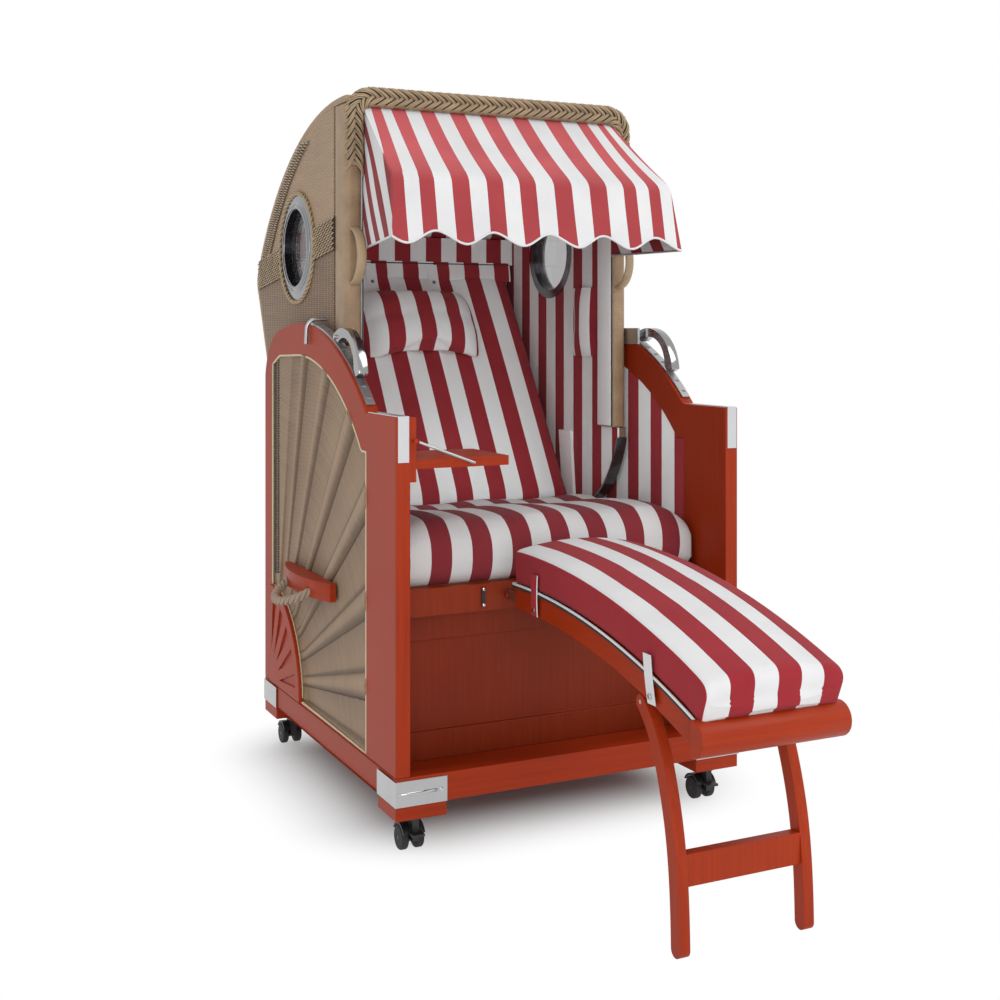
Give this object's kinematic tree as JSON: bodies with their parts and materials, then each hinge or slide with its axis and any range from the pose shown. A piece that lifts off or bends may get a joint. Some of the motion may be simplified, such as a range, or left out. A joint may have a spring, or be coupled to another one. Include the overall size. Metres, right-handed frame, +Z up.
{
  "type": "hooded beach chair",
  "caption": "Single-seat wicker beach chair on castors with a tilting hood, awning, side tray and hook-on footrest.",
  "frame": {"origin": "middle of the object's box, on the floor", "axes": "+Z up, -Y the way the chair faces, +X to the right of someone looking at its front"},
  "size_m": [1.0146, 1.8499, 1.6299],
  "materials": {
    "painted_wood": "satin red-brown paint",
    "plain_wood": "plain planed boards",
    "wicker": "woven flat and round strands",
    "striped_cloth": "red and white block stripes, woven",
    "stainless_steel": "brushed",
    "chrome": "polished",
    "caster_rubber": "matt black",
    "rope": "laid rope",
    "dark_trim": "glossy edging",
    "clear_pane": "clear"
  },
  "bodies": {
    "base": {"base_rails": "painted_wood", "floor_board": "painted_wood", "foot_blocks": "painted_wood", "corner_brackets": "stainless_steel", "side_panel_left": "painted_wood", "side_panel_right": "painted_wood", "wicker_panels": "wicker", "side_linings": "striped_cloth", "sun_corners": "painted_wood", "rope_yokes": "painted_wood", "rope_left": "rope", "rope_right": "rope", "rear_panel": "painted_wood", "front_panel": "painted_wood", "seat_rail": "painted_wood", "seat_bearers": "plain_wood", "seat_board": "plain_wood", "seat_cushion": "striped_cloth", "arm_strips": "stainless_steel", "notch_rails": "stainless_steel", "pivot_posts": "plain_wood", "pivot_bolts": "stainless_steel", "caster_plates": "stainless_steel", "tray_mount": "painted_wood"},
    "hood": {"hood_roof": "wicker", "hood_side_left": "wicker", "hood_side_right": "wicker", "hood_linings": "striped_cloth", "hood_trim": "dark_trim", "hood_posts": "wicker", "hood_braid": "wicker", "porthole_rings": "stainless_steel", "porthole_panes": "clear_pane", "grips": "wicker", "backrest_pad": "striped_cloth", "back_boards": "striped_cloth", "pillow": "striped_cloth", "pillow_straps": "striped_cloth", "hinge_arms": "stainless_steel", "hood_pins": "chrome"},
    "awning": {"awning_bow": "stainless_steel", "awning_canopy": "striped_cloth"},
    "latch_lever_left": {"latch_lever_left": "chrome"},
    "latch_lever_right": {"latch_lever_right": "chrome"},
    "tray": {"tray_top": "painted_wood"},
    "tray_stay": {"tray_stay": "stainless_steel"},
    "footrest": {"footrest_rails": "painted_wood", "footrest_board": "plain_wood", "footrest_nose": "painted_wood", "footrest_cushion": "striped_cloth", "footrest_fittings": "stainless_steel"},
    "footrest_legs": {"footrest_legs": "painted_wood"},
    "swivel_front_left": {"caster_fork_front_left": "chrome"},
    "wheel_front_left": {"caster_wheel_front_left": "caster_rubber"},
    "swivel_front_right": {"caster_fork_front_right": "chrome"},
    "wheel_front_right": {"caster_wheel_front_right": "caster_rubber"},
    "swivel_rear_left": {"caster_fork_rear_left": "chrome"},
    "wheel_rear_left": {"caster_wheel_rear_left": "caster_rubber"},
    "swivel_rear_right": {"caster_fork_rear_right": "chrome"},
    "wheel_rear_right": {"caster_wheel_rear_right": "caster_rubber"}
  },
  "joints": [
    {"name": "hood_tilt", "type": "hinge", "parent": "base", "child": "hood", "pos_m": [0, 0.4215, 0.418], "axis": [1, 0, 0], "range_deg": [-18, 8]},
    {"name": "awning_fold", "type": "hinge", "parent": "hood", "child": "awning", "pos_m": [0, 0.2115, 1.4], "axis": [-1, 0, 0], "range_deg": [0, 55], "deforming": ["awning_canopy"]},
    {"name": "tray_fold", "type": "hinge", "parent": "base", "child": "tray", "pos_m": [-0.367, -0.1145, 0.807], "axis": [0, -1, 0], "range_deg": [0, 90]},
    {"name": "tray_stay_swing", "type": "hinge", "parent": "tray", "child": "tray_stay", "pos_m": [-0.244, -0.2285, 0.7975], "axis": [0, -1, 0], "range_deg": [0, 13]},
    {"name": "footrest_lift", "type": "hinge", "parent": "base", "child": "footrest", "pos_m": [0, -0.1315, 0.498], "axis": [-1, 0, 0], "range_deg": [0, 30]},
    {"name": "footrest_leg_fold", "type": "hinge", "parent": "footrest", "child": "footrest_legs", "pos_m": [0, -0.7085, 0.40966], "axis": [1, 0, 0], "range_deg": [0, 75]},
    {"name": "latch_lift_left", "type": "hinge", "parent": "hood", "child": "latch_lever_left", "pos_m": [-0.399, 0.15785, 1.0545], "axis": [-1, 0, 0], "range_deg": [0, 25]},
    {"name": "latch_lift_right", "type": "hinge", "parent": "hood", "child": "latch_lever_right", "pos_m": [0.399, 0.15785, 1.0545], "axis": [-1, 0, 0], "range_deg": [0, 25]},
    {"name": "caster_swivel_front_left", "type": "hinge", "parent": "base", "child": "swivel_front_left", "pos_m": [-0.359, -0.171, 0.06], "axis": [0, 0, 1], "continuous": true},
    {"name": "caster_roll_front_left", "type": "hinge", "parent": "swivel_front_left", "child": "wheel_front_left", "pos_m": [-0.359, -0.155, 0.025], "axis": [1, 0, 0], "continuous": true},
    {"name": "caster_swivel_front_right", "type": "hinge", "parent": "base", "child": "swivel_front_right", "pos_m": [0.359, -0.171, 0.06], "axis": [0, 0, 1], "continuous": true},
    {"name": "caster_roll_front_right", "type": "hinge", "parent": "swivel_front_right", "child": "wheel_front_right", "pos_m": [0.359, -0.155, 0.025], "axis": [1, 0, 0], "continuous": true},
    {"name": "caster_swivel_rear_left", "type": "hinge", "parent": "base", "child": "swivel_rear_left", "pos_m": [-0.359, 0.651, 0.06], "axis": [0, 0, 1], "continuous": true},
    {"name": "caster_roll_rear_left", "type": "hinge", "parent": "swivel_rear_left", "child": "wheel_rear_left", "pos_m": [-0.359, 0.667, 0.025], "axis": [1, 0, 0], "continuous": true},
    {"name": "caster_swivel_rear_right", "type": "hinge", "parent": "base", "child": "swivel_rear_right", "pos_m": [0.359, 0.651, 0.06], "axis": [0, 0, 1], "continuous": true},
    {"name": "caster_roll_rear_right", "type": "hinge", "parent": "swivel_rear_right", "child": "wheel_rear_right", "pos_m": [0.359, 0.667, 0.025], "axis": [1, 0, 0], "continuous": true}
  ],
  "couplings": [
    {"joint": "tray_stay_swing", "follows": "tray_fold", "ratio": 0.14}
  ]
}
